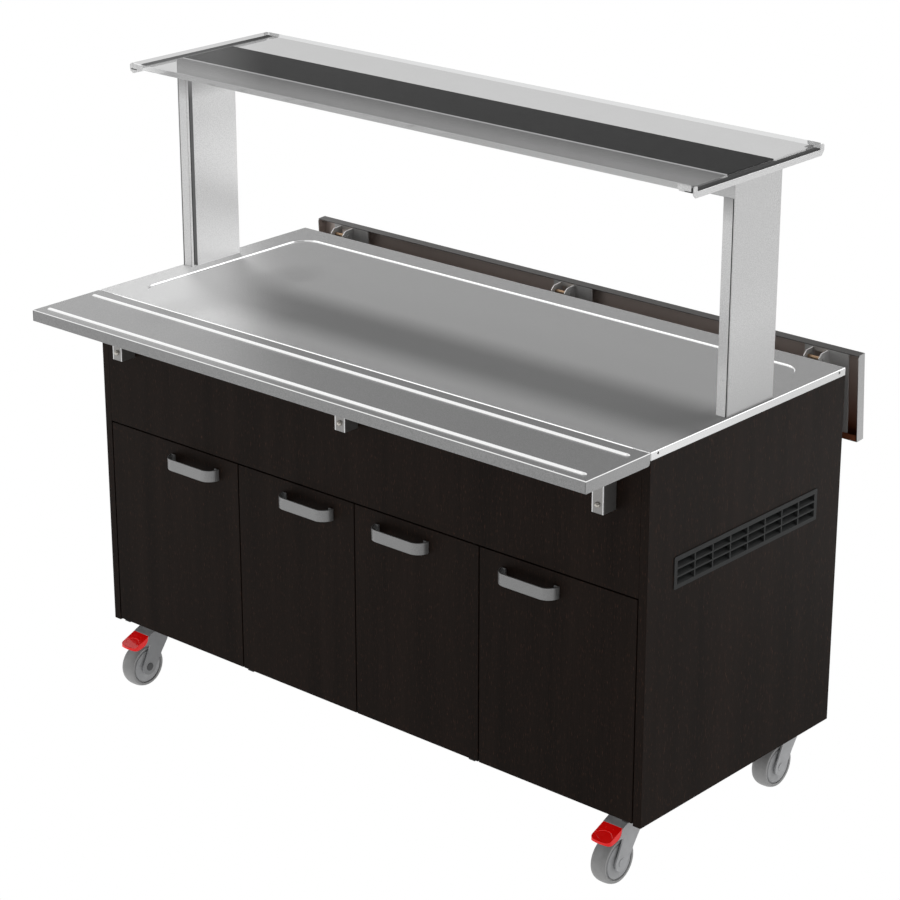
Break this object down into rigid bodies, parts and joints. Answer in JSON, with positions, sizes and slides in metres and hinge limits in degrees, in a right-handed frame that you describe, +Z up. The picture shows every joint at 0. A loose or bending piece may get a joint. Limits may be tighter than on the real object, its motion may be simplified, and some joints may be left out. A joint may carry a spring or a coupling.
{
  "type": "heated buffet trolley",
  "caption": "Wheeled serving cabinet with doors, a heated worktop, folding tray slides and a lamp gantry under a glass shelf.",
  "frame": {"origin": "on the floor, under the middle of the trolley's outline with the front slide raised and the rear slide folded", "axes": "+X along the trolley to the right as seen from the front, +Y to the back, +Z up"},
  "size_m": [1.528, 0.923, 1.426],
  "materials": {
    "wenge_board": "satin wood-look laminate",
    "inner_board": "matt laminate",
    "stainless": "brushed",
    "hinge_steel": "bright zinc",
    "frame_steel": "powder coat",
    "lid": "dark satin",
    "reflector": "polished",
    "quartz": "clear",
    "ceramic": "glazed",
    "glass": "clear toughened",
    "heater": "matt silicone",
    "insulation": "mineral fibre",
    "dark_plastic": "matt",
    "fork_grey": "satin moulded",
    "hub_grey": "satin moulded",
    "tyre_grey": "matt",
    "pedal_red": "satin moulded"
  },
  "bodies": {
    "cabinet": {"side_panel_left": "wenge_board", "side_panel_right": "wenge_board", "back_panel": "wenge_board", "fascia_panel": "wenge_board", "deck_panel": "inner_board", "floor_panel": "inner_board", "partitions": "inner_board", "shelves": "inner_board", "shelf_pins": "hinge_steel", "base_frame": "frame_steel", "worktop": "stainless", "heater_mat": "heater", "insulation_board": "insulation", "vent_grilles": "dark_plastic", "gantry_post_left": "stainless", "gantry_post_right": "stainless", "post_covers": "stainless", "lamp_housing": "stainless", "housing_lid": "lid", "lamp_reflector": "reflector", "heat_lamps": "quartz", "lamp_holders": "ceramic", "glass_shelf": "glass", "glass_rails": "stainless", "slide_brackets": "hinge_steel", "hinge_fasteners": "hinge_steel", "door_pivot_plates": "hinge_steel", "caster_stems": "hinge_steel", "control_cup": "stainless", "thermostat": "dark_plastic", "switch_housing": "dark_plastic", "mains_inlet": "dark_plastic"},
    "door_leaf_1": {"door_1": "wenge_board", "handle_1": "stainless"},
    "door_leaf_2": {"door_2": "wenge_board", "handle_2": "stainless"},
    "door_leaf_3": {"door_3": "wenge_board", "handle_3": "stainless"},
    "door_leaf_4": {"door_4": "wenge_board", "handle_4": "stainless"},
    "front_slide": {"tray_slide_front": "stainless", "slide_hinges_front": "hinge_steel"},
    "rear_slide": {"tray_slide_rear": "stainless", "slide_hinges_rear": "hinge_steel"},
    "swivel_front_left": {"fork_front_left": "fork_grey"},
    "wheel_front_left": {"hub_front_left": "hub_grey", "tyre_front_left": "tyre_grey"},
    "pedal_front_left": {"brake_pedal_front_left": "pedal_red"},
    "swivel_front_right": {"fork_front_right": "fork_grey"},
    "wheel_front_right": {"hub_front_right": "hub_grey", "tyre_front_right": "tyre_grey"},
    "pedal_front_right": {"brake_pedal_front_right": "pedal_red"},
    "swivel_rear_left": {"fork_rear_left": "fork_grey"},
    "wheel_rear_left": {"hub_rear_left": "hub_grey", "tyre_rear_left": "tyre_grey"},
    "swivel_rear_right": {"fork_rear_right": "fork_grey"},
    "wheel_rear_right": {"hub_rear_right": "hub_grey", "tyre_rear_right": "tyre_grey"},
    "knob": {"thermostat_knob": "dark_plastic"},
    "rocker": {"power_rocker": "dark_plastic"}
  },
  "joints": [
    {"name": "door_1_hinge", "type": "hinge", "parent": "cabinet", "child": "door_leaf_1", "pos_m": [-0.7225, -0.25948, 0.392], "axis": [0, 0, -1], "range_deg": [0, 105]},
    {"name": "door_2_hinge", "type": "hinge", "parent": "cabinet", "child": "door_leaf_2", "pos_m": [-0.3225, -0.25948, 0.392], "axis": [0, 0, -1], "range_deg": [0, 105]},
    {"name": "door_3_hinge", "type": "hinge", "parent": "cabinet", "child": "door_leaf_3", "pos_m": [0.3225, -0.25948, 0.392], "axis": [0, 0, 1], "range_deg": [0, 105]},
    {"name": "door_4_hinge", "type": "hinge", "parent": "cabinet", "child": "door_leaf_4", "pos_m": [0.7225, -0.25948, 0.392], "axis": [0, 0, 1], "range_deg": [0, 105]},
    {"name": "front_slide_fold", "type": "hinge", "parent": "cabinet", "child": "front_slide", "pos_m": [0, -0.31178, 0.909], "axis": [1, 0, 0], "range_deg": [0, 86.6]},
    {"name": "rear_slide_fold", "type": "hinge", "parent": "cabinet", "child": "rear_slide", "pos_m": [0, 0.42182, 0.909], "axis": [1, 0, 0], "range_deg": [0, 86.6]},
    {"name": "swivel_front_left", "type": "hinge", "parent": "cabinet", "child": "swivel_front_left", "pos_m": [-0.6865, -0.21898, 0.131], "axis": [0, 0, 1], "continuous": true},
    {"name": "wheel_front_left_spin", "type": "hinge", "parent": "swivel_front_left", "child": "wheel_front_left", "pos_m": [-0.6865, -0.25898, 0.05], "axis": [1, 0, 0], "continuous": true},
    {"name": "brake_front_left", "type": "hinge", "parent": "swivel_front_left", "child": "pedal_front_left", "pos_m": [-0.6865, -0.24898, 0.118], "axis": [-1, 0, 0], "range_deg": [0, 15]},
    {"name": "swivel_front_right", "type": "hinge", "parent": "cabinet", "child": "swivel_front_right", "pos_m": [0.6865, -0.21898, 0.131], "axis": [0, 0, 1], "continuous": true},
    {"name": "wheel_front_right_spin", "type": "hinge", "parent": "swivel_front_right", "child": "wheel_front_right", "pos_m": [0.6865, -0.25898, 0.05], "axis": [1, 0, 0], "continuous": true},
    {"name": "brake_front_right", "type": "hinge", "parent": "swivel_front_right", "child": "pedal_front_right", "pos_m": [0.6865, -0.24898, 0.118], "axis": [-1, 0, 0], "range_deg": [0, 15]},
    {"name": "swivel_rear_left", "type": "hinge", "parent": "cabinet", "child": "swivel_rear_left", "pos_m": [-0.6865, 0.32902, 0.131], "axis": [0, 0, 1], "continuous": true},
    {"name": "wheel_rear_left_spin", "type": "hinge", "parent": "swivel_rear_left", "child": "wheel_rear_left", "pos_m": [-0.6865, 0.28902, 0.05], "axis": [1, 0, 0], "continuous": true},
    {"name": "swivel_rear_right", "type": "hinge", "parent": "cabinet", "child": "swivel_rear_right", "pos_m": [0.6865, 0.32902, 0.131], "axis": [0, 0, 1], "continuous": true},
    {"name": "wheel_rear_right_spin", "type": "hinge", "parent": "swivel_rear_right", "child": "wheel_rear_right", "pos_m": [0.6865, 0.28902, 0.05], "axis": [1, 0, 0], "continuous": true},
    {"name": "thermostat_turn", "type": "hinge", "parent": "cabinet", "child": "knob", "pos_m": [-0.73, 0.15002, 0.795], "axis": [-1, 0, 0], "range_deg": [-270, 0]},
    {"name": "power_rock", "type": "hinge", "parent": "cabinet", "child": "rocker", "pos_m": [-0.7192, 0.05502, 0.795], "axis": [0, 0, -1], "range_deg": [0, 18]}
  ]
}
